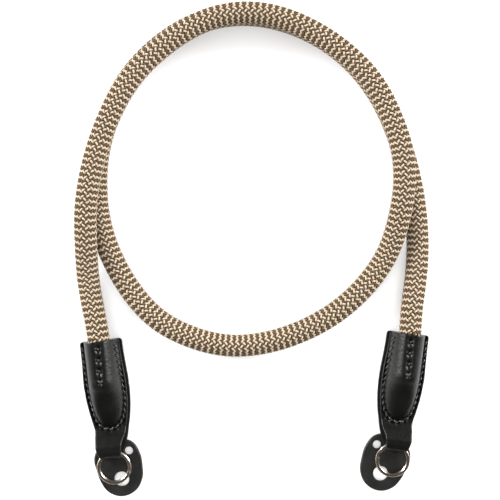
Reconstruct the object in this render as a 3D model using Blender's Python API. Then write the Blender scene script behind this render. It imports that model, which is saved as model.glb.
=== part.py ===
"""Coiled camera strap: a round braided rope with a leather sleeve, a split ring and a guard at each end.

The strap lies flat: the floor is at z = 0. Each end is built in its own frame, with +X across it, towards
the middle of the coil on the left end, and -Y along it, from the sleeve's mouth to the ring.
"""

import math

import bmesh
import bpy
import numpy as np
from mathutils import Matrix, Vector

# Rope
ROPE_DIAMETER = 0.0105
ROPE_INSERTION = 0.0195
TUBE_STEP = 0.0116
TUBE_RINGS = 4

# Leather
LEATHER = 0.0016
CLEARANCE = 0.0003
SLEEVE_LENGTH = 0.0552
SEAM_WIDTH = 0.0050
LAYER_INSET = 0.0011
GROOVE_DEPTH = 0.0007
GROOVE_WIDTH = 0.0028
GROOVE_LENGTH = 0.0185
POCKET_LENGTH = 0.0390

# Split ring of flat wire, in two turns
RING_DIAMETER = 0.0160
WIRE_WIDTH = 0.0016
WIRE_HEIGHT = 0.0009
TURN_GAP = 0.00015
WIRE_BEVEL = 0.0003
RING_GRIP = 0.0036
RING_TURN = math.radians(360)
JOG_SWEEP = math.radians(28)

# Guard
GUARD_THICKNESS = 0.0020
GUARD_LENGTH = 0.0270
GUARD_BEVEL = 0.0004
LARGE_HOLE_ALONG = 0.0052
LARGE_HOLE_ACROSS = 0.0004
LARGE_HOLE_DIAMETER = 0.0069
SMALL_HOLE_ALONG = -0.0076
SMALL_HOLE_ACROSS = 0.0052
SMALL_HOLE_DIAMETER = 0.0038

# Sizes that follow from those above
ROPE_RADIUS = ROPE_DIAMETER / 2
BORE_RADIUS = ROPE_RADIUS + CLEARANCE
BORE_HEIGHT = LEATHER + BORE_RADIUS
SEAM_HEIGHT = 2 * LEATHER
MOUTH_HEIGHT = 2 * BORE_HEIGHT
ARCH_HALF_WIDTH = BORE_RADIUS + LEATHER
OUTER_ARCH = 1.06 * ARCH_HALF_WIDTH
INNER_ARCH = 1.18 * ARCH_HALF_WIDTH
SLEEVE_HALF_WIDTH = BORE_RADIUS + SEAM_WIDTH
RING_RADIUS = RING_DIAMETER / 2
RING_POSITION = SLEEVE_LENGTH - RING_GRIP + RING_RADIUS
TURN_PITCH = WIRE_HEIGHT + TURN_GAP
RING_HEIGHT = WIRE_HEIGHT + TURN_PITCH
NECK_LIFT = GUARD_THICKNESS + CLEARANCE
RING_FOLD_HEIGHT = NECK_LIFT + LEATHER + CLEARANCE + RING_HEIGHT / 2
RING_FAR_HEIGHT = NECK_LIFT + RING_HEIGHT / 2
RING_TILT = math.asin((RING_FOLD_HEIGHT - RING_FAR_HEIGHT) / (RING_DIAMETER - WIRE_WIDTH))
RING_MIDDLE_HEIGHT = (RING_FOLD_HEIGHT + RING_FAR_HEIGHT) / 2
LOOP_HEIGHT = RING_HEIGHT + 2 * CLEARANCE + math.sin(RING_TILT) * WIRE_WIDTH
FOLD_HEIGHT = SEAM_HEIGHT + LOOP_HEIGHT

# Where each sleeve's mouth lies, its heading, the side of it that faces the coil's middle,
# where its ring's wire ends, and where its guard lies: past the ring's middle, across and turn
# (name, x, y, heading deg, side, wire end deg, guard past, guard across, guard turn deg)
ENDS = (
    ("left", -0.0721, 0.0343, 6.5, 1, 15, 0.0010, 0.0022, 0),
    ("right", 0.0722, 0.0376, -7.4, -1, 40, 0.0022, 0.0035, 6),
)

# The sleeve's sections from the mouth to the fold. Along is a share of SLEEVE_LENGTH, outer and inner
# of SLEEVE_HALF_WIDTH, inset of LAYER_INSET, crown of the arch's rise, spread of ARCH_HALF_WIDTH,
# lift of NECK_LIFT, loop of LOOP_HEIGHT and tuck of half of FOLD_HEIGHT.
# (along, outer, inner, inset, crown, spread, lift, loop, tuck)
SECTIONS = (
    (0.000, 0.84, 0.85, 1.00, 1.00, 1.00, 0.00, 0.00, 0.00),
    (0.008, 0.90, 0.91, 1.00, 1.00, 1.00, 0.00, 0.00, 0.00),
    (0.028, 0.92, 0.94, 1.00, 1.00, 1.00, 0.00, 0.00, 0.00),
    (0.100, 0.92, 0.95, 1.00, 1.00, 1.00, 0.00, 0.00, 0.00),
    (0.200, 0.93, 0.98, 1.00, 1.00, 1.00, 0.00, 0.00, 0.00),
    (0.300, 0.95, 1.02, 1.00, 1.00, 1.00, 0.00, 0.00, 0.00),
    (0.370, 0.96, 1.04, 1.00, 0.98, 1.00, 0.00, 0.00, 0.00),
    (0.430, 0.94, 1.04, 1.00, 0.79, 1.00, 0.00, 0.00, 0.00),
    (0.490, 0.92, 1.03, 1.00, 0.63, 0.98, 0.00, 0.00, 0.00),
    (0.550, 0.88, 1.01, 1.00, 0.52, 0.94, 0.00, 0.00, 0.00),
    (0.610, 0.83, 0.97, 1.00, 0.41, 0.86, 0.00, 0.00, 0.00),
    (0.670, 0.77, 0.92, 1.00, 0.27, 0.71, 0.00, 0.00, 0.00),
    (0.715, 0.72, 0.87, 1.00, 0.13, 0.48, 0.00, 0.00, 0.00),
    (0.745, 0.69, 0.83, 1.00, 0.00, 0.40, 0.00, 0.00, 0.00),
    (0.790, 0.68, 0.79, 1.10, 0.00, 0.40, 0.45, 0.00, 0.00),
    (0.825, 0.69, 0.75, 1.45, 0.00, 0.40, 1.00, 0.15, 0.00),
    (0.860, 0.69, 0.69, 1.75, 0.00, 0.40, 1.00, 0.60, 0.00),
    (0.895, 0.69, 0.61, 1.50, 0.00, 0.40, 1.00, 1.00, 0.00),
    (0.935, 0.65, 0.51, 0.90, 0.00, 0.40, 1.00, 1.00, 0.00),
    (0.965, 0.60, 0.45, 0.40, 0.00, 0.40, 1.00, 1.00, 0.12),
    (0.985, 0.55, 0.41, 0.20, 0.00, 0.40, 1.00, 1.00, 0.38),
    (1.000, 0.47, 0.36, 0.15, 0.00, 0.40, 1.00, 1.00, 0.78),
)

# The pocket past the rope's end. Along is a share from that end to POCKET_LENGTH,
# and width and height are shares of the bore. (along, width, height)
POCKET = (
    (0.00, 1.00, 1.00),
    (0.28, 0.97, 0.70),
    (0.52, 0.88, 0.51),
    (0.76, 0.68, 0.33),
    (1.00, 0.35, 0.10),
)

# The guard's outline: angle from the end away from the sleeve, and a share of half of GUARD_LENGTH
# (angle deg, radius)
GUARD_OUTLINE = (
    (0, 0.99), (30, 0.96), (60, 0.86), (90, 0.79), (120, 0.87), (150, 1.01),
    (180, 0.99), (210, 1.02), (240, 0.96), (270, 0.81), (300, 0.82), (330, 0.93),
)

# The rope's middle line between the two mouths, and how far it is lifted off its rest on the floor
# (x, y, lift)
ROUTE = (
    (-0.0737, 0.0440, 0.0018),
    (-0.0769, 0.0621, 0.0020),
    (-0.0774, 0.0782, 0.0070),
    (-0.0771, 0.0946, 0.0104),
    (-0.0751, 0.1094, 0.0110),
    (-0.0707, 0.1260, 0.0110),
    (-0.0643, 0.1417, 0.0109),
    (-0.0545, 0.1573, 0.0107),
    (-0.0415, 0.1698, 0.0107),
    (-0.0257, 0.1798, 0.0108),
    (-0.0075, 0.1846, 0.0109),
    (0.0099, 0.1830, 0.0109),
    (0.0264, 0.1764, 0.0109),
    (0.0409, 0.1667, 0.0109),
    (0.0532, 0.1541, 0.0109),
    (0.0623, 0.1376, 0.0109),
    (0.0676, 0.1208, 0.0107),
    (0.0685, 0.1071, 0.0100),
    (0.0664, 0.0907, 0.0070),
    (0.0613, 0.0742, 0.0019),
    (0.0521, 0.0605, 0.0002),
    (0.0390, 0.0483, 0.0000),
    (0.0222, 0.0388, 0.0000),
    (0.0045, 0.0333, 0.0000),
    (-0.0127, 0.0322, 0.0000),
    (-0.0302, 0.0364, 0.0000),
    (-0.0453, 0.0446, 0.0000),
    (-0.0572, 0.0575, 0.0000),
    (-0.0660, 0.0726, 0.0000),
    (-0.0719, 0.0905, 0.0000),
    (-0.0735, 0.1077, 0.0000),
    (-0.0720, 0.1242, 0.0000),
    (-0.0662, 0.1421, 0.0000),
    (-0.0568, 0.1584, 0.0000),
    (-0.0432, 0.1721, 0.0000),
    (-0.0260, 0.1822, 0.0000),
    (-0.0067, 0.1860, 0.0000),
    (0.0115, 0.1838, 0.0000),
    (0.0297, 0.1764, 0.0000),
    (0.0440, 0.1660, 0.0000),
    (0.0562, 0.1516, 0.0000),
    (0.0652, 0.1340, 0.0000),
    (0.0709, 0.1167, 0.0000),
    (0.0744, 0.0998, 0.0000),
    (0.0760, 0.0812, 0.0000),
    (0.0752, 0.0639, 0.0003),
    (0.0728, 0.0459, 0.0018),
)

ARCH_POINTS = 25
BORE_POINTS = 28
OUTLINE_POINTS = 48
HOLE_POINTS = 28
TURN_POINTS = 46


def material(name, color, roughness, metallic=0.0):
    made = bpy.data.materials.new(name)
    made.use_nodes = True
    shader = made.node_tree.nodes["Principled BSDF"]
    shader.inputs["Base Color"].default_value = (*color, 1.0)
    shader.inputs["Roughness"].default_value = roughness
    shader.inputs["Metallic"].default_value = metallic
    return made


def add_object(name, bm, surface=None):
    """Link a bmesh as an object whose faces point out."""
    bmesh.ops.recalc_face_normals(bm, faces=bm.faces)
    mesh = bpy.data.meshes.new(name)
    bm.to_mesh(mesh)
    bm.free()
    made = bpy.data.objects.new(name, mesh)
    bpy.context.collection.objects.link(made)
    if surface:
        mesh.materials.append(surface)
        mesh.shade_smooth()
        mesh.set_sharp_from_angle(angle=math.radians(35))
    return made


def cut(target, cutter):
    """Subtract a guide object, which stays hidden."""
    cutter.hide_render = True
    cutter.display_type = "WIRE"
    boolean = target.modifiers.new(cutter.name, "BOOLEAN")
    boolean.operation = "DIFFERENCE"
    boolean.solver = "EXACT"
    boolean.object = cutter


def loft(rows, closed=False):
    """Skin rings of equal length, capping the ends unless the rings themselves close up."""
    bm = bmesh.new()
    rings = [[bm.verts.new(point) for point in row] for row in rows]
    pairs = list(zip(rings, rings[1:]))
    if closed:
        pairs.append((rings[-1], rings[0]))
    for near, far in pairs:
        for i in range(len(near)):
            j = (i + 1) % len(near)
            bm.faces.new((near[i], near[j], far[j], far[i]))
    if not closed:
        bm.faces.new(rings[0])
        bm.faces.new(rings[-1])
    return bm


def natural_spline(points):
    """Smooth curve through points, by chord length: returns it as a function and its full length."""
    points = np.array(points, dtype=float)
    knots = np.concatenate(([0.0], np.cumsum(np.linalg.norm(np.diff(points, axis=0), axis=1))))
    gaps = np.diff(knots)
    size = len(points)
    matrix = np.eye(size)
    right = np.zeros_like(points)
    for i in range(1, size - 1):
        matrix[i, i - 1:i + 2] = gaps[i - 1], 2 * (gaps[i - 1] + gaps[i]), gaps[i]
        right[i] = 6 * ((points[i + 1] - points[i]) / gaps[i] - (points[i] - points[i - 1]) / gaps[i - 1])
    bend = np.linalg.solve(matrix, right)

    def at(distance):
        i = min(max(int(np.searchsorted(knots, distance)) - 1, 0), size - 2)
        after = knots[i + 1] - distance
        before = distance - knots[i]
        cubic = (bend[i] * after ** 3 + bend[i + 1] * before ** 3) / (6 * gaps[i])
        line_start = (points[i] / gaps[i] - bend[i] * gaps[i] / 6) * after
        line_end = (points[i + 1] / gaps[i] - bend[i + 1] * gaps[i] / 6) * before
        return cubic + line_start + line_end

    return at, knots


def end_matrix(x, y, heading):
    return Matrix.Translation((x, y, 0)) @ Matrix.Rotation(math.radians(heading), 4, "Z")


def rope_points():
    """The tube's points: straight inside both sleeves, and even steps along the route between them."""
    inside = []
    for _, x, y, heading, *_ in ENDS:
        matrix = end_matrix(x, y, heading)
        depths = (ROPE_INSERTION, ROPE_INSERTION / 2, 0)
        inside.append([tuple(matrix @ Vector((0, -depth, BORE_HEIGHT))) for depth in depths])
    left, right = inside
    free = [(x, y, ROPE_RADIUS + lift) for x, y, lift in ROUTE]
    at, knots = natural_spline(left + free + right[::-1])
    start = knots[2]
    stop = knots[-3]
    steps = round((stop - start) / TUBE_STEP)
    between = [tuple(at(start + (stop - start) * i / steps)) for i in range(1, steps)]
    return left + between + right[::-1]


def make_rope(surface):
    curve = bpy.data.curves.new("rope", "CURVE")
    curve.dimensions = "3D"
    curve.bevel_depth = ROPE_RADIUS
    curve.bevel_resolution = TUBE_RINGS
    curve.use_fill_caps = True
    spline = curve.splines.new("POLY")
    points = rope_points()
    spline.points.add(len(points) - 1)
    for point, place in zip(spline.points, points):
        point.co = (*place, 1)
    spline.use_smooth = True
    curve.materials.append(surface)
    made = bpy.data.objects.new("rope", curve)
    bpy.context.collection.objects.link(made)


def arch(across, spread):
    """Height share of the leather over the rope: flat on top, steep outside and gentle inside."""
    if across < 0:
        share = min(-across / (spread * OUTER_ARCH), 1.0)
        return (1 - share ** 3.4) ** 0.6
    share = min(across / (spread * INNER_ARCH), 1.0)
    return (1 - share ** 2.1) ** 0.74


def section_ring(row, side):
    """One closed outline of the sleeve: flat back, stepped inner edge, arched front, outer edge."""
    along, outer, inner, inset, crown, spread, lift, loop, tuck = row
    y = -along * SLEEVE_LENGTH
    outer_edge = -outer * SLEEVE_HALF_WIDTH
    inner_edge = inner * SLEEVE_HALF_WIDTH
    fold = tuck * FOLD_HEIGHT / 2
    bottom = lift * NECK_LIFT + fold
    seam = lift * NECK_LIFT + SEAM_HEIGHT + loop * LOOP_HEIGHT - fold
    middle = bottom + min(LEATHER, (seam - bottom) / 2)
    points = [
        (outer_edge, bottom),
        (outer_edge / 2, bottom),
        (0, bottom),
        (inner_edge / 2, bottom),
        (inner_edge, bottom),
        (inner_edge, middle),
    ]
    front_inner = inner_edge - inset * LAYER_INSET
    points.append((front_inner, middle))
    rise = crown * (MOUTH_HEIGHT - SEAM_HEIGHT)
    groove = GROOVE_DEPTH * crown * max(0.0, min(1.0, (GROOVE_LENGTH + y) / GROOVE_WIDTH))
    for i in range(ARCH_POINTS):
        across = front_inner + (outer_edge - front_inner) * i / (ARCH_POINTS - 1)
        height = seam + rise * arch(across, spread)
        height -= groove * math.exp(-(across / GROOVE_WIDTH * 2) ** 2)
        points.append((across, height))
    points.append((outer_edge, middle))
    return [(side * across, y, z) for across, z in points]


def bore_rings(side):
    """The rope's bore, open at the mouth, and the pocket that narrows past the rope's end."""
    stop = ROPE_INSERTION + CLEARANCE
    stations = [(-CLEARANCE * 10, 1.0, 1.0)]
    stations += [(stop + share * (POCKET_LENGTH - stop), width, height) for share, width, height in POCKET]
    rings = []
    for along, width, height in stations:
        ring = []
        for i in range(BORE_POINTS):
            angle = 2 * math.pi * i / BORE_POINTS
            across = width * BORE_RADIUS * math.cos(angle)
            z = LEATHER + height * BORE_RADIUS * (1 + math.sin(angle))
            ring.append((side * across, -along, z))
        rings.append(ring)
    return rings


def ring_cutter(name):
    """An annular slot for the ring through the fold, with clearance on every face."""
    outer = RING_RADIUS + CLEARANCE
    inner = RING_RADIUS - WIRE_WIDTH - CLEARANCE
    half = RING_HEIGHT / 2 + CLEARANCE
    rings = []
    for i in range(TURN_POINTS):
        angle = RING_TURN * i / TURN_POINTS
        direction = Vector((math.cos(angle), math.sin(angle), 0))
        up = Vector((0, 0, half))
        rings.append([direction * outer + up, direction * outer - up, direction * inner - up, direction * inner + up])
    return add_object(name, loft(rings, closed=True))


def ring_matrix():
    place = Matrix.Translation((0, -RING_POSITION, RING_MIDDLE_HEIGHT))
    return place @ Matrix.Rotation(RING_TILT, 4, "X")


def make_sleeve(name, side, parent, surface):
    sleeve = add_object(name + "_sleeve", loft([section_ring(row, side) for row in SECTIONS]), surface)
    sleeve.parent = parent
    bore = add_object(name + "_bore", loft(bore_rings(side)))
    bore.parent = parent
    cut(sleeve, bore)
    slot = ring_cutter(name + "_slot")
    slot.parent = parent
    slot.matrix_local = ring_matrix()
    cut(sleeve, slot)


def make_ring(name, side, wire_end, parent, surface):
    """Two turns of flat wire. The wire climbs by one turn's pitch just before it passes over its start."""
    sweep = 2 * RING_TURN - JOG_SWEEP * 1.3
    steps = round(TURN_POINTS * sweep / RING_TURN)
    low = -TURN_PITCH / 2
    rows = []
    for i in range(steps + 1):
        turned = sweep * i / steps
        climb = max(0.0, min(1.0, (turned - RING_TURN + JOG_SWEEP) / JOG_SWEEP))
        climb = climb * climb * (3 - 2 * climb)
        z = low + TURN_PITCH * climb
        angle = math.radians(wire_end) + turned
        row = []
        for radial, up in wire_section():
            radius = RING_RADIUS - WIRE_WIDTH / 2 + radial
            row.append((side * radius * math.cos(angle), radius * math.sin(angle), z + up))
        rows.append(row)
    ring = add_object(name + "_ring", loft(rows), surface)
    ring.parent = parent
    ring.matrix_local = ring_matrix()


def wire_section():
    """Flat wire with its four corners bevelled."""
    wide = WIRE_WIDTH / 2
    high = WIRE_HEIGHT / 2
    bevel = WIRE_BEVEL
    right = [(wide, -high + bevel), (wide, high - bevel), (wide - bevel, high), (-wide + bevel, high)]
    return right + [(-x, -z) for x, z in right]


def guard_radius(angle):
    """Outline radius at an angle, smooth through GUARD_OUTLINE (periodic Catmull-Rom)."""
    count = len(GUARD_OUTLINE)
    step = math.radians(360 / count)
    place = angle / step
    i = math.floor(place)
    t = place - i
    before, near, far, after = (GUARD_OUTLINE[(i + k) % count][1] for k in (-1, 0, 1, 2))
    curve = 2 * near + (far - before) * t + (2 * before - 5 * near + 4 * far - after) * t ** 2
    curve += (3 * near - before - 3 * far + after) * t ** 3
    return GUARD_LENGTH / 2 * curve / 2


def disc(name, radius_at, count, low, high):
    """An upright prism whose outline is a radius by angle, measured from -Y."""
    rows = []
    for z in (low, high):
        row = []
        for i in range(count):
            angle = 2 * math.pi * i / count
            radius = radius_at(angle)
            row.append((radius * math.sin(angle), -radius * math.cos(angle), z))
        rows.append(row)
    return loft(rows)


def make_guard(name, side, past, across, turn, parent, surface):
    bm = disc(name, guard_radius, OUTLINE_POINTS, 0, GUARD_THICKNESS)
    rims = [edge for edge in bm.edges if abs(edge.verts[0].co.z - edge.verts[1].co.z) < CLEARANCE]
    bmesh.ops.bevel(bm, geom=rims, offset=GUARD_BEVEL, segments=1, affect="EDGES")
    bmesh.ops.scale(bm, vec=(side, 1, 1), verts=bm.verts)
    guard = add_object(name + "_guard", bm, surface)
    guard.parent = parent
    guard.location = (side * across, -RING_POSITION - past, 0)
    guard.rotation_euler = (0, 0, side * math.radians(turn))
    holes = (
        ("large", LARGE_HOLE_ALONG, LARGE_HOLE_ACROSS, LARGE_HOLE_DIAMETER),
        ("small", SMALL_HOLE_ALONG, SMALL_HOLE_ACROSS, SMALL_HOLE_DIAMETER),
    )
    for label, hole_along, hole_across, diameter in holes:
        reach = GUARD_THICKNESS
        bm = disc(label, lambda angle: diameter / 2, HOLE_POINTS, -reach, 2 * reach)
        hole = add_object(name + "_" + label + "_hole", bm)
        hole.parent = guard
        hole.location = (side * hole_across, -hole_along, 0)
        cut(guard, hole)


def main():
    for old in list(bpy.data.objects):
        bpy.data.objects.remove(old, do_unlink=True)
    rope_surface = material("braided_rope", (0.42, 0.33, 0.23), 0.85)
    leather_surface = material("black_leather", (0.012, 0.012, 0.011), 0.5)
    steel_surface = material("ring_steel", (0.62, 0.55, 0.50), 0.25, 1.0)
    make_rope(rope_surface)
    for name, x, y, heading, side, wire_end, past, across, turn in ENDS:
        end = bpy.data.objects.new(name + "_end", None)
        bpy.context.collection.objects.link(end)
        end.location = (x, y, 0)
        end.rotation_euler = (0, 0, math.radians(heading))
        make_sleeve(name, side, end, leather_surface)
        make_ring(name, side, wire_end, end, steel_surface)
        make_guard(name, side, past, across, turn, end, leather_surface)


main()
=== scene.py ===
"""Coiled camera strap: braided rope, stitched leather sleeves, split rings and leather guards."""

import math
import random

import bmesh
import bpy
import numpy as np
from mathutils import Matrix, Vector


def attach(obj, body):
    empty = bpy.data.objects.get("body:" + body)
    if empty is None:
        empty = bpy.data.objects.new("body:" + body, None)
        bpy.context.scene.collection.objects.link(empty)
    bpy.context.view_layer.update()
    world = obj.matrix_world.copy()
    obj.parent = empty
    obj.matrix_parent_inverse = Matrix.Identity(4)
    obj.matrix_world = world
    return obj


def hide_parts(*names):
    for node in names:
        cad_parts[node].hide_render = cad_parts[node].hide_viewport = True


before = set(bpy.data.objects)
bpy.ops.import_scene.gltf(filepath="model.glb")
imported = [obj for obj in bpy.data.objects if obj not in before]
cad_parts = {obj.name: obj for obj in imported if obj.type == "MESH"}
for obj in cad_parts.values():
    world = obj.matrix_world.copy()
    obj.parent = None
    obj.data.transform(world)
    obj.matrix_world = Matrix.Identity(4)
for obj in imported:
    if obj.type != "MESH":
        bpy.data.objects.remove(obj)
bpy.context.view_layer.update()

# Rope, as in the part's source; inside a sleeve its route has points at these shares of the depth
ROPE_DIAMETER = 0.0105
ROPE_RADIUS = ROPE_DIAMETER / 2
ROPE_INSERTION = 0.0195
INSIDE_SHARES = (1, 0.5, 0)
CORE_RADIUS = 0.0042
CORE_STEP = 0.003
CURVE_SAMPLES = 6000

# Braid: places round the rope and rows along it. A yarn climbs CLIMB rows for each place that it turns,
# and it lies on top for two places, then under for two. FLATTENING: rows that it climbs less on top.
# LEFT_LAID_ROWS: shift of the left-laid yarns along the rope. BRAID_HIDDEN: braid inside each mouth.
PLACES = 48
ROW_HEIGHT = 0.000708
CLIMB = 7 / 6
YARNS = round(PLACES * CLIMB / 2)
FLATTENING = 0.32
LEFT_LAID_ROWS = -1.35
BRAID_TURN = math.radians(10)
BRAID_HIDDEN = 0.004
BRAID_SEED = 7
SPARE_ROWS = 4
LAST_ROW = 1.001
WIDTH_SWING = 0.12
YARN_THICKNESS = 0.00062
YARN_RISE = 0.00036
YARN_SIDES = 6
YARN_ANGLES = np.linspace(0, math.tau, YARN_SIDES, endpoint=False)
YARN_RADIUS = ROPE_RADIUS - YARN_RISE - YARN_THICKNESS / 2

# Painted shade on a yarn: its painted light halfway from lying on top to dipping under, and how much
# darker its sides are painted
MIDWAY_PAINTED_LIGHT = 0.35
SIDE_SHADE = 0.85

# A yarn's tone, its wave along the yarn, and the filaments round it
TONE_RANGE = (0.25, 0.75)
TONE_WAVE = 0.15
TONE_TURN = 0.11
TONE_PHASE = 6.28
YARN_FILAMENTS = 11

# (yarn, width, painted shade color in the gaps and where it dips under, color where it lies on top)
YARN_KINDS = (
    ("beige", 0.00102, (0.092, 0.060, 0.033), (0.42, 0.338, 0.25)),
    ("brown", 0.00086, (0.013, 0.008, 0.0035), (0.088, 0.057, 0.029)),
)

# Other colors
CORE_COLOR = (0.025, 0.015, 0.008)
SLEEVE_COLOR = (0.0032, 0.0031, 0.0028)
GUARD_COLOR = (0.0085, 0.0083, 0.0078)
THREAD_COLOR = (0.016, 0.016, 0.015)
STEEL_COLOR = (0.70, 0.60, 0.51)
FLOOR_COLOR = (0.70, 0.70, 0.70)
NOISE_ROUGHNESS = 0.55

# Leather
LEATHER = 0.0016
CLEARANCE = 0.0003
SLEEVE_LENGTH = 0.0552
SEAM_WIDTH = 0.0050
LAYER_INSET = 0.0011
BORE_RADIUS = ROPE_RADIUS + CLEARANCE
BORE_HEIGHT = LEATHER + BORE_RADIUS
SEAM_HEIGHT = 2 * LEATHER
MOUTH_HEIGHT = 2 * BORE_HEIGHT
SLEEVE_HALF_WIDTH = BORE_RADIUS + SEAM_WIDTH
ARCH_HALF_WIDTH = BORE_RADIUS + LEATHER

# The front leather over the rope, outside and inside: (reach, flatness on top, steepness at its foot)
OUTER_ARCH = (1.06 * ARCH_HALF_WIDTH, 3.4, 0.6)
INNER_ARCH = (1.18 * ARCH_HALF_WIDTH, 2.1, 0.74)

# The groove along the short row of stitches
GROOVE_LENGTH = 0.0185
GROOVE_DEPTH = 0.0008
GROOVE_WIDTH = 0.0016
GROOVE_FADE = 0.003

# Rounded edges, each at most a share of the leather there, and the lip of the split between the layers
EDGE_ROUND = 0.00035
EDGE_PARTS = 6
TOP_ROUND = 0.0007
TOP_SHARE = 0.6
MOUTH_ROUND = 0.0005
MOUTH_SHARES = (0, 0.08, 0.25, 0.55)
LIP_BACK = 0.4
LIP_UP = 0.3
SPLIT_DEPTH = 0.9

# Points of the sleeve's section and rows along it
CORNER_POINTS = 5
BOTTOM_POINTS = 7
TOP_POINTS = 100
SLEEVE_ROWS = 220
SLEEVE_SHARP = math.radians(50)

# The sleeve's opening for the rope: (along, width share, height share)
BORE_ROWS = ((-0.003, 1.0, 1.0), (0.0, 1.0, 1.0), (0.0198, 1.0, 1.0), (0.0222, 0.9, 0.62))
BORE_TRIM = 0.0001
BORE_SIDES = 48
SLOT_SIDES = 96

# Stitches, their holes, and the line that they press into the leather
THREAD_RADIUS = 0.00042
THREAD_SIDES = 10
THREAD_END = 0.4
STITCH_PARTS = 20
STITCH_STEPS = 12
STITCH_BOW = 0.8
STITCH_SLANT = 0.0003
STITCH_DIP = 0.0013
STITCH_RISE = 0.0015
HOLE_RADIUS = 0.00095
PRESS_WIDTH = 0.00085
PRESS_DEPTH = 0.00022
SEAM_STEP = 0.0004
LINE_SAMPLES = 800
STRAIGHT_SAMPLES = 100

# Split ring: flat wire in two turns, which changes level in one jog
RING_DIAMETER = 0.0160
RING_RADIUS = RING_DIAMETER / 2
WIRE_WIDTH = 0.0016
WIRE_HEIGHT = 0.0009
WIRE_SIDES = 16
WIRE_SQUARENESS = 0.85
TURN_GAP = 0.00015
RING_GRIP = 0.0036
RING_POSITION = SLEEVE_LENGTH - RING_GRIP + RING_RADIUS
RING_STEPS = 300
RING_SHARP = math.radians(60)
JOG_SWEEP = math.radians(28)
RING_SWEEP = 2 * math.tau - JOG_SWEEP * 1.3
TURN_PITCH = WIRE_HEIGHT + TURN_GAP
RING_HEIGHT = WIRE_HEIGHT + TURN_PITCH

# Guard
GUARD_THICKNESS = 0.0020
GUARD_LENGTH = 0.0270
GUARD_SIDES = 144
GUARD_SHARP = math.radians(40)
HOLE_SIDES = 72

# (along, across, diameter)
GUARD_HOLES = ((0.0052, 0.0004, 0.0069), (-0.0076, 0.0052, 0.0038))

# From the middle of the underside round the edge to the middle of the top, with the pressed line
# (inset from the outline, height)
GUARD_PROFILE = (
    (0.0070, 0.0), (0.0006, 0.0), (0.0002, 0.00012), (0.0, 0.0005), (0.0, 0.0012),
    (0.00006, 0.00145), (0.00022, 0.0017), (0.0005, 0.0019), (0.0009, GUARD_THICKNESS),
    (0.0013, 0.00195), (0.0015, 0.00186), (0.0017, 0.00195), (0.0021, GUARD_THICKNESS),
    (0.0070, GUARD_THICKNESS),
)

# A hole's rounded rims (height, wider by)
HOLE_PROFILE = (
    (-0.001, 0.0003), (0.0, 0.00015), (0.0004, 0.0), (0.0016, 0.0), (0.002, 0.0002), (0.003, 0.0006),
)

# How the ring lies: in the fold near the sleeve, and just above the guard at its far side
NECK_LIFT = GUARD_THICKNESS + CLEARANCE
RING_FOLD_HEIGHT = NECK_LIFT + LEATHER + CLEARANCE + RING_HEIGHT / 2
RING_FAR_HEIGHT = NECK_LIFT + RING_HEIGHT / 2
RING_TILT = math.asin((RING_FOLD_HEIGHT - RING_FAR_HEIGHT) / (RING_DIAMETER - WIRE_WIDTH))
RING_MIDDLE_HEIGHT = (RING_FOLD_HEIGHT + RING_FAR_HEIGHT) / 2
LOOP_HEIGHT = RING_HEIGHT + 2 * CLEARANCE + math.sin(RING_TILT) * WIRE_WIDTH
FOLD_HEIGHT = SEAM_HEIGHT + LOOP_HEIGHT

# Camera, straight above the strap
PHOTO_MIDDLE = (-0.0020, 0.0765)
PHOTO_WIDTH = 0.235
CAMERA_HEIGHT = 0.55
SENSOR_WIDTH = 36
CLIP_START = 0.01

# Floor and light
FLOOR_REACH = 1.5
FLOOR_GLOW = 0.20
WORLD_GLOW = 0.06
LIT_PLACE = (0.0, 0.06, 0.0)

# (name, place, size, power, seen in gloss)
LIGHTS = (
    ("key", (0.0, 0.10, 1.20), (1.8, 1.4), 17, False),
    ("back", (0.0, 1.05, 1.10), (2.4, 1.2), 11, False),
    ("front", (0.0, -0.85, 1.05), (2.0, 0.9), 12, False),
    ("left_side", (-1.60, 0.70, 0.55), (0.7, 0.8), 68, True),
    ("right_side", (1.60, 0.70, 0.55), (0.7, 0.8), 68, True),
)

# (name, x, y, heading deg, side, wire end deg, guard past, guard across, guard turn deg)
ENDS = (
    ("left", -0.0721, 0.0343, 6.5, 1, 15, 0.0010, 0.0022, 0),
    ("right", 0.0722, 0.0376, -7.4, -1, 40, 0.0022, 0.0035, 6),
)

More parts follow.
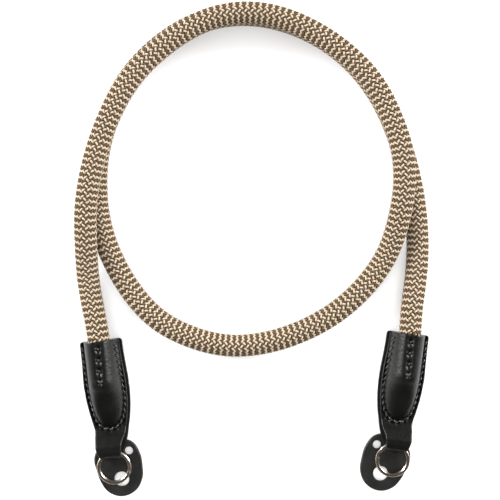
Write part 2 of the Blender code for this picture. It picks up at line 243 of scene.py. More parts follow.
# The sleeve's sections, as in the part's source
# (along, outer, inner, inset, crown, spread, lift, loop, tuck)
SECTIONS = (
    (0.000, 0.84, 0.85, 1.00, 1.00, 1.00, 0.00, 0.00, 0.00),
    (0.008, 0.90, 0.91, 1.00, 1.00, 1.00, 0.00, 0.00, 0.00),
    (0.028, 0.92, 0.94, 1.00, 1.00, 1.00, 0.00, 0.00, 0.00),
    (0.100, 0.92, 0.95, 1.00, 1.00, 1.00, 0.00, 0.00, 0.00),
    (0.200, 0.93, 0.98, 1.00, 1.00, 1.00, 0.00, 0.00, 0.00),
    (0.300, 0.95, 1.02, 1.00, 1.00, 1.00, 0.00, 0.00, 0.00),
    (0.370, 0.96, 1.04, 1.00, 0.98, 1.00, 0.00, 0.00, 0.00),
    (0.430, 0.94, 1.04, 1.00, 0.79, 1.00, 0.00, 0.00, 0.00),
    (0.490, 0.92, 1.03, 1.00, 0.63, 0.98, 0.00, 0.00, 0.00),
    (0.550, 0.88, 1.01, 1.00, 0.52, 0.94, 0.00, 0.00, 0.00),
    (0.610, 0.83, 0.97, 1.00, 0.41, 0.86, 0.00, 0.00, 0.00),
    (0.670, 0.77, 0.92, 1.00, 0.27, 0.71, 0.00, 0.00, 0.00),
    (0.715, 0.72, 0.87, 1.00, 0.13, 0.48, 0.00, 0.00, 0.00),
    (0.745, 0.69, 0.83, 1.00, 0.00, 0.40, 0.00, 0.00, 0.00),
    (0.790, 0.68, 0.79, 1.10, 0.00, 0.40, 0.45, 0.00, 0.00),
    (0.825, 0.69, 0.75, 1.45, 0.00, 0.40, 1.00, 0.15, 0.00),
    (0.860, 0.69, 0.69, 1.75, 0.00, 0.40, 1.00, 0.60, 0.00),
    (0.895, 0.69, 0.61, 1.50, 0.00, 0.40, 1.00, 1.00, 0.00),
    (0.935, 0.65, 0.51, 0.90, 0.00, 0.40, 1.00, 1.00, 0.00),
    (0.965, 0.60, 0.45, 0.40, 0.00, 0.40, 1.00, 1.00, 0.12),
    (0.985, 0.55, 0.41, 0.20, 0.00, 0.40, 1.00, 1.00, 0.38),
    (1.000, 0.47, 0.36, 0.15, 0.00, 0.40, 1.00, 1.00, 0.78),
)

# The seam round the rope and the short row on top, on the left end
# (across, along)
SEAM_LINE = (
    (-0.0085, 0.0020), (-0.0085, 0.0139), (-0.0082, 0.0200), (-0.0078, 0.0260), (-0.0071, 0.0310),
    (-0.0061, 0.0360), (-0.0046, 0.0394), (-0.0026, 0.0411), (-0.0004, 0.0418), (0.0016, 0.0416),
    (0.0036, 0.0407), (0.0056, 0.0389), (0.0075, 0.0345), (0.0084, 0.0300), (0.0085, 0.0255),
    (0.0081, 0.0175), (0.0077, 0.0090), (0.0074, 0.0021),
)
ROW_LINE = ((0.0001, 0.0028), (-0.0008, 0.0194))

# (line, stitch pitch, share of the pitch that a stitch spans, depth of its holes)
STITCH_LINES = ((SEAM_LINE, 0.00285, 1.0, 0.0017), (ROW_LINE, 0.0050, 0.25, 0.0009))

# The guard's outline (angle deg, radius as a share of half its length)
GUARD_OUTLINE = (
    (0, 0.99), (30, 0.96), (60, 0.86), (90, 0.79), (120, 0.87), (150, 1.01),
    (180, 0.99), (210, 1.02), (240, 0.96), (270, 0.81), (300, 0.82), (330, 0.93),
)

# The rope's middle line between the mouths, as in the part's source (x, y, lift)
ROUTE = (
    (-0.0737, 0.0440, 0.0018),
    (-0.0769, 0.0621, 0.0020),
    (-0.0774, 0.0782, 0.0070),
    (-0.0771, 0.0946, 0.0104),
    (-0.0751, 0.1094, 0.0110),
    (-0.0707, 0.1260, 0.0110),
    (-0.0643, 0.1417, 0.0109),
    (-0.0545, 0.1573, 0.0107),
    (-0.0415, 0.1698, 0.0107),
    (-0.0257, 0.1798, 0.0108),
    (-0.0075, 0.1846, 0.0109),
    (0.0099, 0.1830, 0.0109),
    (0.0264, 0.1764, 0.0109),
    (0.0409, 0.1667, 0.0109),
    (0.0532, 0.1541, 0.0109),
    (0.0623, 0.1376, 0.0109),
    (0.0676, 0.1208, 0.0107),
    (0.0685, 0.1071, 0.0100),
    (0.0664, 0.0907, 0.0070),
    (0.0613, 0.0742, 0.0019),
    (0.0521, 0.0605, 0.0002),
    (0.0390, 0.0483, 0.0000),
    (0.0222, 0.0388, 0.0000),
    (0.0045, 0.0333, 0.0000),
    (-0.0127, 0.0322, 0.0000),
    (-0.0302, 0.0364, 0.0000),
    (-0.0453, 0.0446, 0.0000),
    (-0.0572, 0.0575, 0.0000),
    (-0.0660, 0.0726, 0.0000),
    (-0.0719, 0.0905, 0.0000),
    (-0.0735, 0.1077, 0.0000),
    (-0.0720, 0.1242, 0.0000),
    (-0.0662, 0.1421, 0.0000),
    (-0.0568, 0.1584, 0.0000),
    (-0.0432, 0.1721, 0.0000),
    (-0.0260, 0.1822, 0.0000),
    (-0.0067, 0.1860, 0.0000),
    (0.0115, 0.1838, 0.0000),
    (0.0297, 0.1764, 0.0000),
    (0.0440, 0.1660, 0.0000),
    (0.0562, 0.1516, 0.0000),
    (0.0652, 0.1340, 0.0000),
    (0.0709, 0.1167, 0.0000),
    (0.0744, 0.0998, 0.0000),
    (0.0760, 0.0812, 0.0000),
    (0.0752, 0.0639, 0.0003),
    (0.0728, 0.0459, 0.0018),
)


def natural_spline(points):
    """Smooth curve through points, by chord length: returns it as a function and its knots."""
    points = np.array(points, dtype=float)
    knots = np.concatenate(([0.0], np.cumsum(np.linalg.norm(np.diff(points, axis=0), axis=1))))
    gaps = np.diff(knots)
    size = len(points)
    matrix = np.eye(size)
    right = np.zeros_like(points)
    for i in range(1, size - 1):
        matrix[i, i - 1:i + 2] = gaps[i - 1], 2 * (gaps[i - 1] + gaps[i]), gaps[i]
        slope_after = (points[i + 1] - points[i]) / gaps[i]
        slope_before = (points[i] - points[i - 1]) / gaps[i - 1]
        right[i] = 6 * (slope_after - slope_before)
    bend = np.linalg.solve(matrix, right)

    def at(distance):
        i = min(max(int(np.searchsorted(knots, distance)) - 1, 0), size - 2)
        after = knots[i + 1] - distance
        before = distance - knots[i]
        cubic = (bend[i] * after ** 3 + bend[i + 1] * before ** 3) / (6 * gaps[i])
        line_start = (points[i] / gaps[i] - bend[i] * gaps[i] / 6) * after
        line_end = (points[i + 1] / gaps[i] - bend[i + 1] * gaps[i] / 6) * before
        return cubic + line_start + line_end

    return at, knots


def even_points(at, start, stop, step):
    """Points at even distances along a curve, and its length."""
    fine = np.array([at(d) for d in np.linspace(start, stop, CURVE_SAMPLES)])
    length = np.concatenate(([0.0], np.cumsum(np.linalg.norm(np.diff(fine, axis=0), axis=1))))
    places = np.arange(0, length[-1], step)
    return np.stack([np.interp(places, length, fine[:, k]) for k in range(3)], axis=1), length[-1]


def level_frames(points):
    """Two directions square to the path: one level, to the right of its run, and one down."""
    tangent = np.gradient(points, axis=0)
    tangent /= np.linalg.norm(tangent, axis=1)[:, None]
    level = np.cross(tangent, (0, 0, 1.0))
    level /= np.linalg.norm(level, axis=1)[:, None]
    return level, np.cross(tangent, level)


def at_rows(values, rows):
    """Values between the rows of an array."""
    rows = np.clip(rows, 0, len(values) - LAST_ROW)
    low = rows.astype(int)
    share = (rows - low)[:, None]
    return values[low] * (1 - share) + values[low + 1] * share


def end_matrix(x, y, heading):
    """From a sleeve's own frame, mouth at the origin and ring at -Y, to the strap's."""
    return Matrix.Translation((x, y, 0)) @ Matrix.Rotation(math.radians(heading), 4, "Z")


def add_piece(name, mesh, surface, slot, *nodes):
    """Put a mesh in the scene as a visible piece, standing for the given nodes."""
    mesh.materials.append(surface)
    mesh.shade_smooth()
    piece = bpy.data.objects.new(name, mesh)
    bpy.context.collection.objects.link(piece)
    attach(piece, "root")
    if nodes:
        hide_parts(*nodes)
    return piece


def mesh_from_arrays(name, points, quads):
    mesh = bpy.data.meshes.new(name)
    mesh.vertices.add(len(points))
    mesh.vertices.foreach_set("co", np.asarray(points, dtype=np.float32).ravel())
    mesh.loops.add(len(quads) * 4)
    mesh.loops.foreach_set("vertex_index", np.asarray(quads, dtype=np.int32).ravel())
    mesh.polygons.add(len(quads))
    mesh.polygons.foreach_set("loop_start", np.arange(0, len(quads) * 4, 4, dtype=np.int32))
    mesh.update(calc_edges=True)
    return mesh


def tube_quads(rows, sides, first):
    """Quads of a tube without end faces, of rings of points, of which the first has this index."""
    r = np.arange(rows - 1)[:, None]
    c = np.arange(sides)[None, :]
    d = (c + 1) % sides
    corners = (r * sides + c, r * sides + d, (r + 1) * sides + d, (r + 1) * sides + c)
    return np.stack(corners, axis=-1).reshape(-1, 4) + first


def loft(rows):
    """Closed skin over rings of equal length, with flat ends and its faces turned outwards."""
    bm = bmesh.new()
    rings = [[bm.verts.new(point) for point in row] for row in rows]
    for near, far in zip(rings, rings[1:]):
        for i in range(len(near)):
            j = (i + 1) % len(near)
            bm.faces.new((near[i], near[j], far[j], far[i]))
    bm.faces.new(rings[0])
    bm.faces.new(rings[-1])
    bmesh.ops.recalc_face_normals(bm, faces=bm.faces)
    return bm


def mesh_of(name, bm):
    mesh = bpy.data.meshes.new(name)
    bm.to_mesh(mesh)
    bm.free()
    return mesh


def cut_mesh(mesh, cutters):
    """Subtract closed bmeshes from a mesh and return the result."""
    body = bpy.data.objects.new("cut_body", mesh)
    bpy.context.collection.objects.link(body)
    guides = []
    for cutter in cutters:
        guide = bpy.data.objects.new("cut_guide", mesh_of("cut_guide", cutter))
        bpy.context.collection.objects.link(guide)
        boolean = body.modifiers.new("cut", "BOOLEAN")
        boolean.operation = "DIFFERENCE"
        boolean.solver = "EXACT"
        boolean.object = guide
        guides.append(guide)
    graph = bpy.context.evaluated_depsgraph_get()
    result = bpy.data.meshes.new_from_object(body.evaluated_get(graph))
    result.name = mesh.name
    for used in [body, *guides]:
        bpy.data.objects.remove(used, do_unlink=True)
    return result


class Nodes:
    """Short form for building a material's nodes."""

    def __init__(self, name, color, roughness, metallic=0.0):
        self.material = bpy.data.materials.new(name)
        self.material.use_nodes = True
        self.tree = self.material.node_tree
        self.shader = self.tree.nodes["Principled BSDF"]
        self.shader.inputs["Base Color"].default_value = (*color, 1.0)
        self.shader.inputs["Roughness"].default_value = roughness
        self.shader.inputs["Metallic"].default_value = metallic

    def add(self, kind):
        return self.tree.nodes.new(kind)

    def link(self, source, target):
        self.tree.links.new(source, target)

    def coordinates(self):
        return self.add("ShaderNodeTexCoord").outputs["Object"]

    def noise(self, vector, scale, detail=3.0):
        node = self.add("ShaderNodeTexNoise")
        node.inputs["Scale"].default_value = scale
        node.inputs["Detail"].default_value = detail
        node.inputs["Roughness"].default_value = NOISE_ROUGHNESS
        self.link(vector, node.inputs["Vector"])
        return node.outputs["Fac"]

    def cells(self, vector, scale):
        node = self.add("ShaderNodeTexVoronoi")
        node.inputs["Scale"].default_value = scale
        self.link(vector, node.inputs["Vector"])
        return node.outputs["Distance"]

    def ramp(self, factor, *stops):
        node = self.add("ShaderNodeValToRGB")
        elements = node.color_ramp.elements
        while len(elements) < len(stops):
            elements.new(0.5)
        for element, (place, color) in zip(elements, stops):
            element.position = place
            element.color = (*color, 1.0)
        self.link(factor, node.inputs["Fac"])
        return node.outputs["Color"]

    def spread(self, factor, low, high):
        node = self.add("ShaderNodeMapRange")
        node.inputs["To Min"].default_value = low
        node.inputs["To Max"].default_value = high
        self.link(factor, node.inputs["Value"])
        return node.outputs["Result"]

    def math(self, operation, first, second):
        node = self.add("ShaderNodeMath")
        node.operation = operation
        for socket, value in zip(node.inputs, (first, second)):
            if isinstance(value, (int, float)):
                socket.default_value = value
            else:
                self.link(value, socket)
        return node.outputs["Value"]

    def attribute(self, name):
        node = self.add("ShaderNodeAttribute")
        node.attribute_name = name
        return node.outputs["Fac"]

    def bump(self, height, distance, strength=1.0, normal=None):
        node = self.add("ShaderNodeBump")
        node.inputs["Distance"].default_value = distance
        node.inputs["Strength"].default_value = strength
        self.link(height, node.inputs["Height"])
        if normal is not None:
            self.link(normal, node.inputs["Normal"])
        return node.outputs["Normal"]

    def wire(self, **sockets):
        """Link the shader's sockets and return the material."""
        for key, source in sockets.items():
            self.link(source, self.shader.inputs[key.replace("_", " ")])
        return self.material


def yarn_material(name, dark, pale):
    """Twisted yarn: pale where it lies on top, with painted shade that darkens it in the gaps at its
    sides and where it dips under.
    """
    n = Nodes(name, pale, 0.85)
    n.shader.inputs["Specular IOR Level"].default_value = 0.25
    vector = n.coordinates()
    tone = n.math("ADD", n.attribute("tone"), n.noise(vector, scale=900.0))
    # Painted shade: the yarn's color darkens towards its gap color at its edges and where it dips under
    painted_light_level = n.math("MULTIPLY", n.attribute("painted_light"), n.spread(tone, low=0.72, high=1.12))
    middle = tuple((d + 2 * p) / 3 for d, p in zip(dark, pale))
    color = n.ramp(painted_light_level, (0.12, dark), (0.5, middle), (0.9, pale))
    around = n.math("MULTIPLY", n.attribute("around"), 2 * math.pi * YARN_FILAMENTS)
    filaments = n.math("SINE", around, 0.0)
    normal = n.bump(filaments, distance=0.00004, strength=0.6)
    normal = n.bump(n.noise(vector, scale=5000.0), distance=0.00006, strength=0.6, normal=normal)
    return n.wire(Base_Color=color, Normal=normal)


def core_material():
    n = Nodes("braid_core", CORE_COLOR, 0.95)
    return n.wire(Normal=n.bump(n.noise(n.coordinates(), scale=2500.0), distance=0.0002))


def leather_material(name, color, roughness):
    """Leather with a fine grain, a little mottled."""
    n = Nodes(name, color, roughness)
    n.shader.inputs["Specular IOR Level"].default_value = 0.25
    vector = n.coordinates()
    mottled = n.noise(vector, scale=160.0, detail=4.0)
    dark = tuple(c * 0.75 for c in color)
    pale = tuple(c * 1.5 for c in color)
    base = n.ramp(mottled, (0.3, dark), (0.75, pale))
    polish = n.noise(vector, scale=420.0, detail=4.0)
    rough = n.spread(polish, low=roughness - 0.07, high=roughness + 0.1)
    normal = n.bump(n.noise(vector, scale=800.0), distance=0.0002, strength=0.8)
    normal = n.bump(n.cells(vector, scale=1500.0), distance=0.00006, strength=0.6, normal=normal)
    return n.wire(Base_Color=base, Roughness=rough, Normal=normal)


def thread_material():
    n = Nodes("black_thread", THREAD_COLOR, 0.26)
    n.shader.inputs["Sheen Weight"].default_value = 0.2
    return n.wire(Normal=n.bump(n.noise(n.coordinates(), scale=5000.0), distance=0.00005))


def steel_material():
    n = Nodes("ring_steel", STEEL_COLOR, 0.28, metallic=1.0)
    vector = n.coordinates()
    rough = n.spread(n.noise(vector, scale=200.0), low=0.25, high=0.33)
    return n.wire(Roughness=rough, Normal=n.bump(n.noise(vector, scale=3000.0), distance=0.000003))


def floor_material():
    n = Nodes("studio_floor", FLOOR_COLOR, 0.75)
    n.shader.inputs["Emission Color"].default_value = (1, 1, 1, 1)
    n.shader.inputs["Emission Strength"].default_value = FLOOR_GLOW
    return n.wire(Normal=n.bump(n.noise(n.coordinates(), scale=300.0), distance=0.00003))


def make_camera():
    camera = bpy.data.cameras.new("camera")
    camera.sensor_width = SENSOR_WIDTH
    camera.lens = SENSOR_WIDTH * CAMERA_HEIGHT / PHOTO_WIDTH
    camera.clip_start = CLIP_START
    made = bpy.data.objects.new("camera", camera)
    made.location = (*PHOTO_MIDDLE, CAMERA_HEIGHT)
    bpy.context.collection.objects.link(made)
    bpy.context.scene.camera = made


def rope_route():
    """The rope's middle line from end to end, inside the sleeves too, as a curve with its knots."""
    inside = []
    for _, x, y, heading, *_ in ENDS:
        matrix = end_matrix(x, y, heading)
        depths = [ROPE_INSERTION * share for share in INSIDE_SHARES]
        inside.append([tuple(matrix @ Vector((0, -depth, BORE_HEIGHT))) for depth in depths])
    left, right = inside
    free = [(x, y, ROPE_RADIUS + lift) for x, y, lift in ROUTE]
    return natural_spline(left + free + right[::-1])


def yarn_rings(points, frames, way, number, width):
    """One yarn's rings of points, with its turns and how far on top it lies at each ring."""
    level, down = frames
    count = int((len(points) - SPARE_ROWS) / CLIMB)
    turned = math.ceil(-2 * number / CLIMB) + np.arange(count)
    place = way * turned
    swing = (place - 0.5) * math.pi / 2
    row = turned * CLIMB + 2 * number - FLATTENING * np.sin(swing) + (LEFT_LAID_ROWS if way < 0 else 0)
    on_top = way * np.cos(swing) * math.sqrt(2)
    radius = YARN_RADIUS + YARN_RISE * on_top
    theta = place * 2 * math.pi / PLACES + BRAID_TURN
    radial = np.cos(theta)[:, None] * at_rows(level, row) + np.sin(theta)[:, None] * at_rows(down, row)
    middle = at_rows(points, row) + radius[:, None] * radial
    run = np.gradient(middle, axis=0)
    run /= np.linalg.norm(run, axis=1)[:, None]
    wide = np.cross(run, radial)
    wide /= np.linalg.norm(wide, axis=1)[:, None]
    half_width = width / 2 * (1 - WIDTH_SWING + WIDTH_SWING * on_top)
    sideways = np.cos(YARN_ANGLES)[None, :] * half_width[:, None]
    outward = np.sin(YARN_ANGLES) * YARN_THICKNESS / 2
    rings = middle[:, None, :] + wide[:, None, :] * sideways[:, :, None]
    rings = rings + radial[:, None, :] * outward[None, :, None]
    return rings.reshape(-1, 3), turned, on_top


def braid_mesh(name, points, frames, way, parity, width):
    """Every second yarn of one direction round the rope."""
    rng = random.Random(BRAID_SEED + way * 3 + parity)
    # Painted shade: each yarn is painted darker towards its two edges
    sides = 1 - SIDE_SHADE * np.clip(2 * np.abs(np.cos(YARN_ANGLES)) - 1, 0, 1)
    vertices = []
    quads = []
    around = []
    tones = []
    painted_light_values = []
    for number in range(parity, YARNS, 2):
        rings, turned, on_top = yarn_rings(points, frames, way, number, width)
        quads.append(tube_quads(len(turned), YARN_SIDES, len(vertices) * len(rings)))
        vertices.append(rings)
        around.append(np.tile(YARN_ANGLES / (2 * math.pi), len(turned)))
        # Painted shade: a yarn is painted darker where it dips under the others
        painted_dip_light = np.clip(MIDWAY_PAINTED_LIGHT + (1 - MIDWAY_PAINTED_LIGHT) * on_top, 0, 1)
        painted_light_values.append((painted_dip_light[:, None] * sides[None, :]).ravel())
        tone = rng.uniform(*TONE_RANGE)
        tone = tone + TONE_WAVE * np.sin(turned * TONE_TURN + rng.uniform(0, TONE_PHASE))
        tones.append(np.repeat(tone, YARN_SIDES))
    mesh = mesh_from_arrays(name, np.concatenate(vertices), np.concatenate(quads))
    for label, values in (("around", around), ("tone", tones), ("painted_light", painted_light_values)):
        layer = mesh.attributes.new(label, "FLOAT", "POINT")
        layer.data.foreach_set("value", np.concatenate(values).astype(np.float32))
    return mesh


def make_core(at, stop):
    """The dark round core under the yarns, as one curve, and its length."""
    core_points, length = even_points(at, 0, stop, CORE_STEP)
    curve = bpy.data.curves.new("rope_core", "CURVE")
    curve.dimensions = "3D"
    curve.bevel_depth = CORE_RADIUS
    curve.bevel_resolution = 4
    curve.use_fill_caps = True
    spline = curve.splines.new("POLY")
    spline.points.add(len(core_points) - 1)
    for point, place in zip(spline.points, core_points):
        point.co = (*place, 1)
    curve.materials.append(core_material())
    core = bpy.data.objects.new("rope_core", curve)
    bpy.context.collection.objects.link(core)
    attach(core, "root")
    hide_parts("rope")
    return core, length


def make_rope():
    """Core and yarns. The yarns run from just inside one sleeve's mouth to just inside the other's."""
    at, knots = rope_route()
    core, length = make_core(at, knots[-1])
    start = knots[len(INSIDE_SHARES) - 1] - BRAID_HIDDEN
    stop = knots[-len(INSIDE_SHARES)] + BRAID_HIDDEN
    points, _ = even_points(at, start, stop, ROW_HEIGHT)
    frames = level_frames(points)
    kinds = []
    # Each kind's darker color is painted shade for the gaps and where the yarns dip under
    for color, width, dark, pale in YARN_KINDS:
        kinds.append((color, width, yarn_material(color + "_yarn", dark, pale)))
    for way, label in ((1, "right_laid"), (-1, "left_laid")):
        for parity, (color, width, surface) in enumerate(kinds[::way]):
            name = f"yarns_{color}_{label}"
            mesh = braid_mesh(name, points, frames, way, parity, width)
            add_piece(name, mesh, surface, "braided_rope")


def smooth_row(along):
    """The section at a share of the length, eased between the table's rows."""
    places = [row[0] for row in SECTIONS]
    values = []
    i = max(0, min(len(SECTIONS) - 2, int(np.searchsorted(places, along)) - 1))
    gap = places[i + 1] - places[i]
    t = (along - places[i]) / gap
    for column in range(1, len(SECTIONS[0])):
        near = SECTIONS[i][column]
        far = SECTIONS[i + 1][column]
        before = SECTIONS[max(i - 1, 0)]
        after = SECTIONS[min(i + 2, len(SECTIONS) - 1)]
        slope_near = (far - before[column]) / (places[i + 1] - before[0]) * gap
        slope_far = (after[column] - near) / (after[0] - places[i]) * gap
        if (far - near) * slope_near <= 0:
            slope_near = 0
        if (far - near) * slope_far <= 0:
            slope_far = 0
        value = (2 * t ** 3 - 3 * t ** 2 + 1) * near + (t ** 3 - 2 * t ** 2 + t) * slope_near
        value += (3 * t ** 2 - 2 * t ** 3) * far + (t ** 3 - t ** 2) * slope_far
        values.append(value)
    return values


def arch(across, spread):
    """Height share of the leather over the rope: flat on top, steep outside and gentle inside."""
    reach, flatness, steepness = OUTER_ARCH if across < 0 else INNER_ARCH
    share = min(abs(across) / (spread * reach), 1.0)
    return (1 - share ** flatness) ** steepness


def dense_line(line, step):
    """Even points along a flat line of (across, along) places, smoothed through them."""
    if len(line) > 2:
        at, knots = natural_spline([(a, b, 0) for a, b in line])
        fine = np.array([at(d)[:2] for d in np.linspace(0, knots[-1], LINE_SAMPLES)])
    else:
        fine = np.linspace(line[0], line[1], STRAIGHT_SAMPLES)
    run = np.concatenate(([0.0], np.cumsum(np.linalg.norm(np.diff(fine, axis=0), axis=1))))
    count = max(1, round(run[-1] / step))
    places = np.linspace(0, run[-1], count + 1)
    return np.stack([np.interp(places, run, fine[:, k]) for k in range(2)], axis=1)


def stitch_places():
    """Both holes of each stitch, and how deep they are."""
    pairs = []
    depths = []
    for line, pitch, share, depth in STITCH_LINES:
        places = dense_line(line, pitch / STITCH_PARTS)
        for i in range(0, len(places) - 1, STITCH_PARTS):
            far = min(i + round(STITCH_PARTS * share), len(places) - 1)
            if far > i:
                pairs.append((places[i], places[far]))
                depths += [depth, depth]
    return pairs, np.array(depths)


STITCHES, HOLE_DEPTHS = stitch_places()
HOLES = np.array([place for pair in STITCHES for place in pair])
SEAM_POINTS = dense_line(SEAM_LINE, SEAM_STEP)


def seam_press(across, along):
    """How deep the thread presses the leather, along the seam and at its holes."""
    seam = np.hypot(SEAM_POINTS[:, 0] - across, SEAM_POINTS[:, 1] - along).min()
    holes = np.hypot(HOLES[:, 0] - across, HOLES[:, 1] - along)
    hole = (HOLE_DEPTHS * np.exp(-(holes / HOLE_RADIUS) ** 2)).max()
    return PRESS_DEPTH * math.exp(-(seam / PRESS_WIDTH) ** 2) + hole


def section_values(along):
    """Edges of the two layers, the crown's height and spread, and the heights of bottom and seam."""
    outer, inner, inset, crown, spread, lift, loop, tuck = smooth_row(along)
    fold = tuck * FOLD_HEIGHT / 2
    bottom = lift * NECK_LIFT + fold
    seam = lift * NECK_LIFT + SEAM_HEIGHT + loop * LOOP_HEIGHT - fold
    edges = outer * SLEEVE_HALF_WIDTH, inner * SLEEVE_HALF_WIDTH, inset * LAYER_INSET
    return *edges, crown, spread, bottom, seam


def top_height(across, distance, values=None):
    """Height of the front leather at a place on the left end."""
    along = min(max(distance / SLEEVE_LENGTH, 0.0), 1.0)
    _, _, _, crown, spread, _, seam = values or section_values(along)
    height = seam + crown * (MOUTH_HEIGHT - SEAM_HEIGHT) * arch(across, spread)
    fade = max(0.0, min(1.0, (GROOVE_LENGTH - distance) / GROOVE_FADE))
    (row_start, _), (row_stop, row_end) = ROW_LINE
    off_row = across - row_start - (row_stop - row_start) * distance / row_end
    height -= GROOVE_DEPTH * crown * fade * math.exp(-(off_row / GROOVE_WIDTH) ** 2)
    return height


def quarter(x, z, out, up, size):
    """Points of a rounded corner, from its upright side to its level one."""
    turns = [math.pi / 2 * i / (CORNER_POINTS - 1) for i in range(CORNER_POINTS)]
    return [(x - out * size * (1 - math.cos(t)), z - up * size * (1 - math.sin(t))) for t in turns]


def section_ring(distance):
    """Outline of the two leather layers, with rounded edges and the split between them."""
    values = section_values(distance / SLEEVE_LENGTH)
    outer, inner, inset, _, _, bottom, seam = values
    near_mouth = max(0.0, 1 - distance / MOUTH_ROUND)
    ease = MOUTH_ROUND * (1 - math.sqrt(1 - near_mouth ** 2))
    middle = bottom + min(LEATHER, (seam - bottom) / 2)
    room = min(EDGE_ROUND, (seam - bottom) / EDGE_PARTS)
    top_room = min(TOP_ROUND, (seam - middle) * TOP_SHARE)
    front = inner - inset
    level = inner + outer - 2 * ease - 2 * room
    points = [(-outer + ease + room + level * i / BOTTOM_POINTS, bottom) for i in range(BOTTOM_POINTS)]
    points += quarter(inner - ease, bottom, 1, -1, room)[::-1]
    points += quarter(inner - ease, middle, 1, 1, room)
    points += [(front + room, middle), (front - room * LIP_BACK, middle + room * LIP_UP)]
    points += quarter(front - ease, seam - ease, 1, 1, top_room)
    start = front - ease - top_room
    stop = -outer + ease + top_room
    for i in range(1, TOP_POINTS):
        across = start + (stop - start) * i / TOP_POINTS
        height = top_height(across, distance, values) - seam_press(across, distance)
        points.append((across, height - ease))
    points += quarter(-outer + ease, seam - ease, -1, 1, top_room)[::-1]
    points += [(-outer + ease, middle + room), (-outer + ease + room * SPLIT_DEPTH, middle)]
    points += [(-outer + ease, middle - room)]
    points += quarter(-outer + ease, bottom, -1, -1, room)[:-1]
    return points


def bore_cutter(side, matrix):
    """Cutter for the rope's opening, which narrows at its end."""
    size = BORE_RADIUS - BORE_TRIM
    rings = []
    for along, width, height in BORE_ROWS:
        ring = []
        for i in range(BORE_SIDES):
            angle = 2 * math.pi * i / BORE_SIDES
            across = width * size * math.cos(angle)
            ring.append((side * across, -along, BORE_HEIGHT + height * size * math.sin(angle)))
        rings.append(ring)
    bm = loft(rings)
    bm.transform(matrix)
    return bm


def slot_cutter(matrix):
    """Annular cutter for the ring's slot through the fold."""
    outer = RING_RADIUS + CLEARANCE
    inner = RING_RADIUS - WIRE_WIDTH - CLEARANCE
    up = Vector((0, 0, RING_HEIGHT / 2 + CLEARANCE))
    bm = bmesh.new()
    rings = []
    for i in range(SLOT_SIDES):
        angle = 2 * math.pi * i / SLOT_SIDES
        direction = Vector((math.cos(angle), math.sin(angle), 0))
        far = direction * outer
        near = direction * inner
        rings.append([bm.verts.new(place) for place in (far + up, far - up, near - up, near + up)])
    for ring, following in zip(rings, rings[1:] + rings[:1]):
        for j in range(4):
            k = (j + 1) % 4
            bm.faces.new((ring[j], ring[k], following[k], following[j]))
    bm.transform(matrix @ ring_matrix())
    bmesh.ops.recalc_face_normals(bm, faces=bm.faces)
    return bm


def ring_matrix():
    """From the ring's own frame to its sleeve's: it lies tilted out of the fold."""
    place = Matrix.Translation((0, -RING_POSITION, RING_MIDDLE_HEIGHT))
    return place @ Matrix.Rotation(RING_TILT, 4, "X")


def make_sleeve(name, side, matrix, surface):
    body = SLEEVE_LENGTH - MOUTH_ROUND
    places = [MOUTH_ROUND * share for share in MOUTH_SHARES]
    places += [MOUTH_ROUND + body * i / SLEEVE_ROWS for i in range(SLEEVE_ROWS + 1)]
    rows = []
    for distance in places:
        rows.append([(side * across, -distance, z) for across, z in section_ring(distance)])
    bm = loft(rows)
    bm.transform(matrix)
    mesh = mesh_of(name + "_sleeve_leather", bm)
    mesh = cut_mesh(mesh, [bore_cutter(side, matrix), slot_cutter(matrix)])
    mesh.set_sharp_from_angle(angle=SLEEVE_SHARP)
    add_piece(name + "_sleeve_leather", mesh, surface, "black_leather", name + "_sleeve")


def stitch_rings(near, far):
    """Rings of one stitch from hole to hole: (across, along, height)."""
    run = far - near
    length = float(np.hypot(*run))
    cross = np.array((-run[1], run[0])) / length
    rings = []
    for i in range(STITCH_STEPS + 1):
        t = i / STITCH_STEPS
        bow = math.sin(math.pi * t) ** STITCH_BOW
        flat = near + run * t + cross * STITCH_SLANT * math.cos(math.pi * t)
        height = top_height(flat[0], flat[1]) - STITCH_DIP + STITCH_RISE * bow
        thick = THREAD_RADIUS * (THREAD_END + (1 - THREAD_END) * bow)
        ring = []
        for j in range(THREAD_SIDES):
            angle = 2 * math.pi * j / THREAD_SIDES
            shift = cross * math.cos(angle) * thick
            ring.append((flat[0] + shift[0], flat[1] + shift[1], height + math.sin(angle) * thick))
        rings.append(ring)
    return rings


def make_stitches(name, side, matrix, surface):
    """Thread lying between one hole and the next, dipping into the leather at both."""
    bm = bmesh.new()
    for near, far in STITCHES:
        rows = []
        for ring in stitch_rings(near, far):
            rows.append([bm.verts.new((side * across, -along, z)) for across, along, z in ring])
        for a, b in zip(rows, rows[1:]):
            for i in range(THREAD_SIDES):
                j = (i + 1) % THREAD_SIDES
                bm.faces.new((a[i], a[j], b[j], b[i]))
        bm.faces.new(rows[0])
        bm.faces.new(rows[-1])
    bm.transform(matrix)
    bmesh.ops.recalc_face_normals(bm, faces=bm.faces)
    add_piece(name + "_stitches", mesh_of(name + "_stitches", bm), surface, "black_leather")


def wire_section():
    """Outline of the flat wire, between an ellipse and a rectangle: (radial, up)."""
    section = []
    for i in range(WIRE_SIDES):
        angle = 2 * math.pi * i / WIRE_SIDES
        x = math.copysign(abs(math.cos(angle)) ** WIRE_SQUARENESS, math.cos(angle)) * WIRE_WIDTH / 2
        z = math.copysign(abs(math.sin(angle)) ** WIRE_SQUARENESS, math.sin(angle)) * WIRE_HEIGHT / 2
        section.append((x, z))
    return section


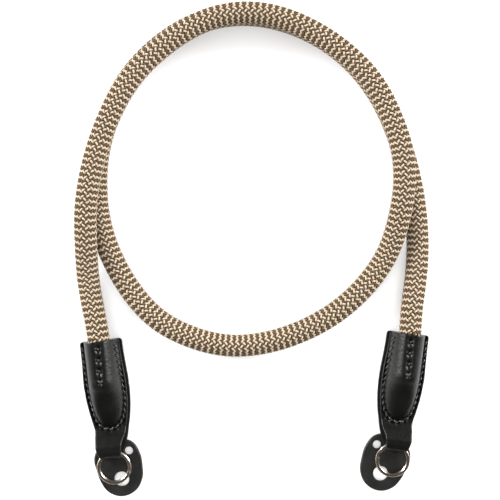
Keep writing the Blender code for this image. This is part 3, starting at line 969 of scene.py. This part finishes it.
def make_ring(name, side, wire_end, matrix, surface):
    """Two turns of wire, the first under the second, with an eased jog between them."""
    rows = []
    for i in range(RING_STEPS + 1):
        turned = RING_SWEEP * i / RING_STEPS
        climb = max(0.0, min(1.0, (turned - math.tau + JOG_SWEEP) / JOG_SWEEP))
        climb = climb * climb * (3 - 2 * climb)
        z = -TURN_PITCH / 2 + TURN_PITCH * climb
        angle = math.radians(wire_end) + turned
        row = []
        for radial, up in wire_section():
            radius = RING_RADIUS - WIRE_WIDTH / 2 + radial
            row.append((side * radius * math.cos(angle), radius * math.sin(angle), z + up))
        rows.append(row)
    bm = loft(rows)
    bm.transform(matrix @ ring_matrix())
    mesh = mesh_of(name + "_split_ring", bm)
    mesh.set_sharp_from_angle(angle=RING_SHARP)
    add_piece(name + "_split_ring", mesh, surface, "ring_steel", name + "_ring")


def guard_radius(angle):
    """Distance of the guard's edge from its middle, smoothed through the outline's places."""
    count = len(GUARD_OUTLINE)
    step = math.radians(360 / count)
    place = angle / step
    i = math.floor(place)
    t = place - i
    before, near, far, after = (GUARD_OUTLINE[(i + k) % count][1] for k in (-1, 0, 1, 2))
    curve = 2 * near + (far - before) * t + (2 * before - 5 * near + 4 * far - after) * t ** 2
    curve += (3 * near - before - 3 * far + after) * t ** 3
    return GUARD_LENGTH / 2 * curve / 2


def hole_cutter(side, along, across, diameter, place):
    """Cutter for one hole of the guard, a little wider at both rims."""
    rings = []
    for z, extra in HOLE_PROFILE:
        radius = diameter / 2 + extra
        ring = []
        for i in range(HOLE_SIDES):
            angle = 2 * math.pi * i / HOLE_SIDES
            x = side * across + radius * math.cos(angle)
            ring.append((x, -along + radius * math.sin(angle), z))
        rings.append(ring)
    bm = loft(rings)
    bm.transform(place)
    return bm


def make_guard(name, side, past, across, turn, matrix, surface):
    """Leather plate with rounded edges and a shallow pressed line inside its rim."""
    rows = []
    for inset, z in GUARD_PROFILE:
        row = []
        for i in range(GUARD_SIDES):
            angle = 2 * math.pi * i / GUARD_SIDES
            radius = guard_radius(angle) - inset
            row.append((side * radius * math.sin(angle), -radius * math.cos(angle), z))
        rows.append(row)
    bm = loft(rows)
    place = matrix @ Matrix.Translation((side * across, -RING_POSITION - past, 0))
    place = place @ Matrix.Rotation(side * math.radians(turn), 4, "Z")
    bm.transform(place)
    cutters = [hole_cutter(side, *hole, place) for hole in GUARD_HOLES]
    mesh = cut_mesh(mesh_of(name + "_guard_leather", bm), cutters)
    mesh.set_sharp_from_angle(angle=GUARD_SHARP)
    add_piece(name + "_guard_leather", mesh, surface, "black_leather", name + "_guard")


def make_stage():
    bm = bmesh.new()
    bmesh.ops.create_grid(bm, x_segments=1, y_segments=1, size=FLOOR_REACH)
    mesh = mesh_of("floor", bm)
    mesh.materials.append(floor_material())
    floor = bpy.data.objects.new("floor", mesh)
    bpy.context.collection.objects.link(floor)


def area_light(name, place, size, power, seen_in_gloss):
    """A rectangular light turned to the middle of the strap."""
    light = bpy.data.lights.new(name, "AREA")
    light.shape = "RECTANGLE"
    light.size, light.size_y = size
    light.energy = power
    made = bpy.data.objects.new(name, light)
    made.location = place
    made.rotation_euler = (Vector(LIT_PLACE) - Vector(place)).to_track_quat("-Z", "Y").to_euler()
    made.visible_glossy = seen_in_gloss
    bpy.context.collection.objects.link(made)


def make_lights():
    for row in LIGHTS:
        area_light(*row)
    world = bpy.data.worlds.new("studio")
    world.use_nodes = True
    background = world.node_tree.nodes["Background"]
    background.inputs["Color"].default_value = (1, 1, 1, 1)
    background.inputs["Strength"].default_value = WORLD_GLOW
    bpy.context.scene.world = world
    bpy.context.scene.view_settings.view_transform = "Standard"


def main():
    make_camera()
    make_rope()
    leather = leather_material("black_leather", SLEEVE_COLOR, 0.37)
    guard_leather = leather_material("guard_leather", GUARD_COLOR, 0.5)
    thread = thread_material()
    steel = steel_material()
    for name, x, y, heading, side, wire_end, past, across, turn in ENDS:
        matrix = end_matrix(x, y, heading)
        make_sleeve(name, side, matrix, leather)
        make_stitches(name, side, matrix, thread)
        make_ring(name, side, wire_end, matrix, steel)
        make_guard(name, side, past, across, turn, matrix, guard_leather)
    make_stage()
    make_lights()


main()
